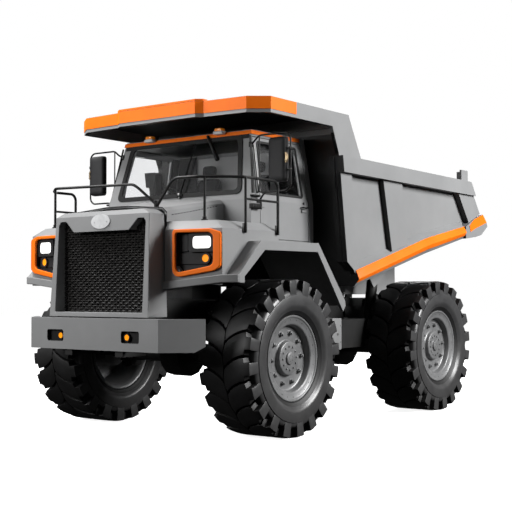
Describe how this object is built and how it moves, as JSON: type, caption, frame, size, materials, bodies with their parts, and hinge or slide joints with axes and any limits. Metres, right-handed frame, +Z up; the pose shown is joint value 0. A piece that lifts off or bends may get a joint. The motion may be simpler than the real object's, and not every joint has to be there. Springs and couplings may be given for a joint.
{
  "type": "rigid dump truck",
  "caption": "Rigid two-axle dump truck with a cab under the bed's canopy, a tipping bed on two hoist cylinders, steered front wheels and lugged tyres.",
  "frame": {"origin": "bottom centre of the bounding box, on the ground under the truck's middle", "axes": "+X is the truck's left, +Y points to its rear, +Z up"},
  "size_m": [4.18, 8.192, 4.73],
  "materials": {
    "grey_paint": "satin",
    "bed_paint": "satin",
    "orange_paint": "satin",
    "black_paint": "satin",
    "chassis_paint": "satin",
    "mesh_black": "satin",
    "engine_iron": "matt",
    "radiator_core": "matt",
    "badge_silver": "satin",
    "lamp_white": "gloss",
    "lamp_amber": "gloss",
    "glass": "clear",
    "seat_fabric": "matt",
    "dash_plastic": "matt",
    "tyre": "matt",
    "rim_paint": "satin",
    "chrome_rod": "polished"
  },
  "bodies": {
    "chassis": {"frame": "chassis_paint", "front_bumper": "grey_paint", "radiator_shell": "grey_paint", "grille": "mesh_black", "radiator": "radiator_core", "badge_plate": "badge_silver", "hood": "grey_paint", "engine": "engine_iron", "driveline": "chassis_paint", "fender_left": "grey_paint", "fender_right": "grey_paint", "lamp_bezels": "orange_paint", "headlamps": "lamp_white", "amber_lamps": "lamp_amber", "cab_shell": "grey_paint", "cab_glass": "glass", "roof_trim": "orange_paint", "seats": "seat_fabric", "dashboard": "dash_plastic", "handrails": "black_paint", "mirrors": "black_paint", "side_tanks": "chassis_paint", "front_axle": "chassis_paint", "rear_axle": "chassis_paint"},
    "left_door": {"door_left": "grey_paint", "door_glass_left": "glass"},
    "right_door": {"door_right": "grey_paint", "door_glass_right": "glass"},
    "left_knuckle": {"knuckle_left": "chassis_paint"},
    "right_knuckle": {"knuckle_right": "chassis_paint"},
    "steering_link": {"tie_rod": "chassis_paint"},
    "front_left_wheel": {"tyre_front_left": "tyre", "rim_front_left": "rim_paint"},
    "front_right_wheel": {"tyre_front_right": "tyre", "rim_front_right": "rim_paint"},
    "rear_left_wheel": {"tyre_rear_left": "tyre", "rim_rear_left": "rim_paint"},
    "rear_right_wheel": {"tyre_rear_right": "tyre", "rim_rear_right": "rim_paint"},
    "dump_bed": {"bed": "bed_paint", "bed_stripes": "orange_paint"},
    "left_hoist_barrel": {"hoist_barrel_left": "chassis_paint"},
    "right_hoist_barrel": {"hoist_barrel_right": "chassis_paint"},
    "left_hoist_rod": {"hoist_rod_left": "chrome_rod"},
    "right_hoist_rod": {"hoist_rod_right": "chrome_rod"}
  },
  "joints": [
    {"name": "steer_left", "type": "hinge", "parent": "chassis", "child": "left_knuckle", "pos_m": [1.12, -2.221, 1.094], "axis": [0, 0, 1], "range_deg": [-30, 30]},
    {"name": "steer_right", "type": "hinge", "parent": "chassis", "child": "right_knuckle", "pos_m": [-1.12, -2.221, 1.094], "axis": [0, 0, 1], "range_deg": [-30, 30]},
    {"name": "tie_rod_pivot", "type": "hinge", "parent": "left_knuckle", "child": "steering_link", "pos_m": [1.12, -2.741, 1.164], "axis": [0, 0, -1], "range_deg": [-30, 30]},
    {"name": "front_left_spin", "type": "hinge", "parent": "left_knuckle", "child": "front_left_wheel", "pos_m": [1.636, -2.221, 1.094], "axis": [1, 0, 0], "continuous": true},
    {"name": "front_right_spin", "type": "hinge", "parent": "right_knuckle", "child": "front_right_wheel", "pos_m": [-1.636, -2.221, 1.094], "axis": [1, 0, 0], "continuous": true},
    {"name": "rear_left_spin", "type": "hinge", "parent": "chassis", "child": "rear_left_wheel", "pos_m": [1.65, 2.029, 1.094], "axis": [1, 0, 0], "continuous": true},
    {"name": "rear_right_spin", "type": "hinge", "parent": "chassis", "child": "rear_right_wheel", "pos_m": [-1.65, 2.029, 1.094], "axis": [1, 0, 0], "continuous": true},
    {"name": "bed_tip", "type": "hinge", "parent": "chassis", "child": "dump_bed", "pos_m": [0, 3.029, 2.04], "axis": [-1, 0, 0], "range_deg": [0, 45]},
    {"name": "left_hoist_swing", "type": "hinge", "parent": "chassis", "child": "left_hoist_barrel", "pos_m": [0.92, 1.529, 1.25], "axis": [-1, 0, 0], "range_deg": [0, 14.77]},
    {"name": "right_hoist_swing", "type": "hinge", "parent": "chassis", "child": "right_hoist_barrel", "pos_m": [-0.92, 1.529, 1.25], "axis": [-1, 0, 0], "range_deg": [0, 14.77]},
    {"name": "left_hoist_slide", "type": "slide", "parent": "left_hoist_barrel", "child": "left_hoist_rod", "axis": [0, 0.1888, 0.982], "range_m": [0, 0.934]},
    {"name": "right_hoist_slide", "type": "slide", "parent": "right_hoist_barrel", "child": "right_hoist_rod", "axis": [0, 0.1888, 0.982], "range_m": [0, 0.934]},
    {"name": "left_door_hinge", "type": "hinge", "parent": "chassis", "child": "left_door", "pos_m": [1.418, -2.161, 3.4], "axis": [0, 0, -1], "range_deg": [0, 70]},
    {"name": "right_door_hinge", "type": "hinge", "parent": "chassis", "child": "right_door", "pos_m": [-1.418, -2.161, 3.4], "axis": [0, 0, 1], "range_deg": [0, 70]}
  ],
  "couplings": [
    {"joint": "steer_right", "follows": "steer_left", "ratio": 1},
    {"joint": "tie_rod_pivot", "follows": "steer_left", "ratio": 1},
    {"joint": "left_hoist_swing", "follows": "bed_tip", "ratio": 0.32799},
    {"joint": "right_hoist_swing", "follows": "bed_tip", "ratio": 0.32799},
    {"joint": "left_hoist_slide", "follows": "bed_tip", "m_per_rad": 1.1879},
    {"joint": "right_hoist_slide", "follows": "bed_tip", "m_per_rad": 1.1879}
  ]
}
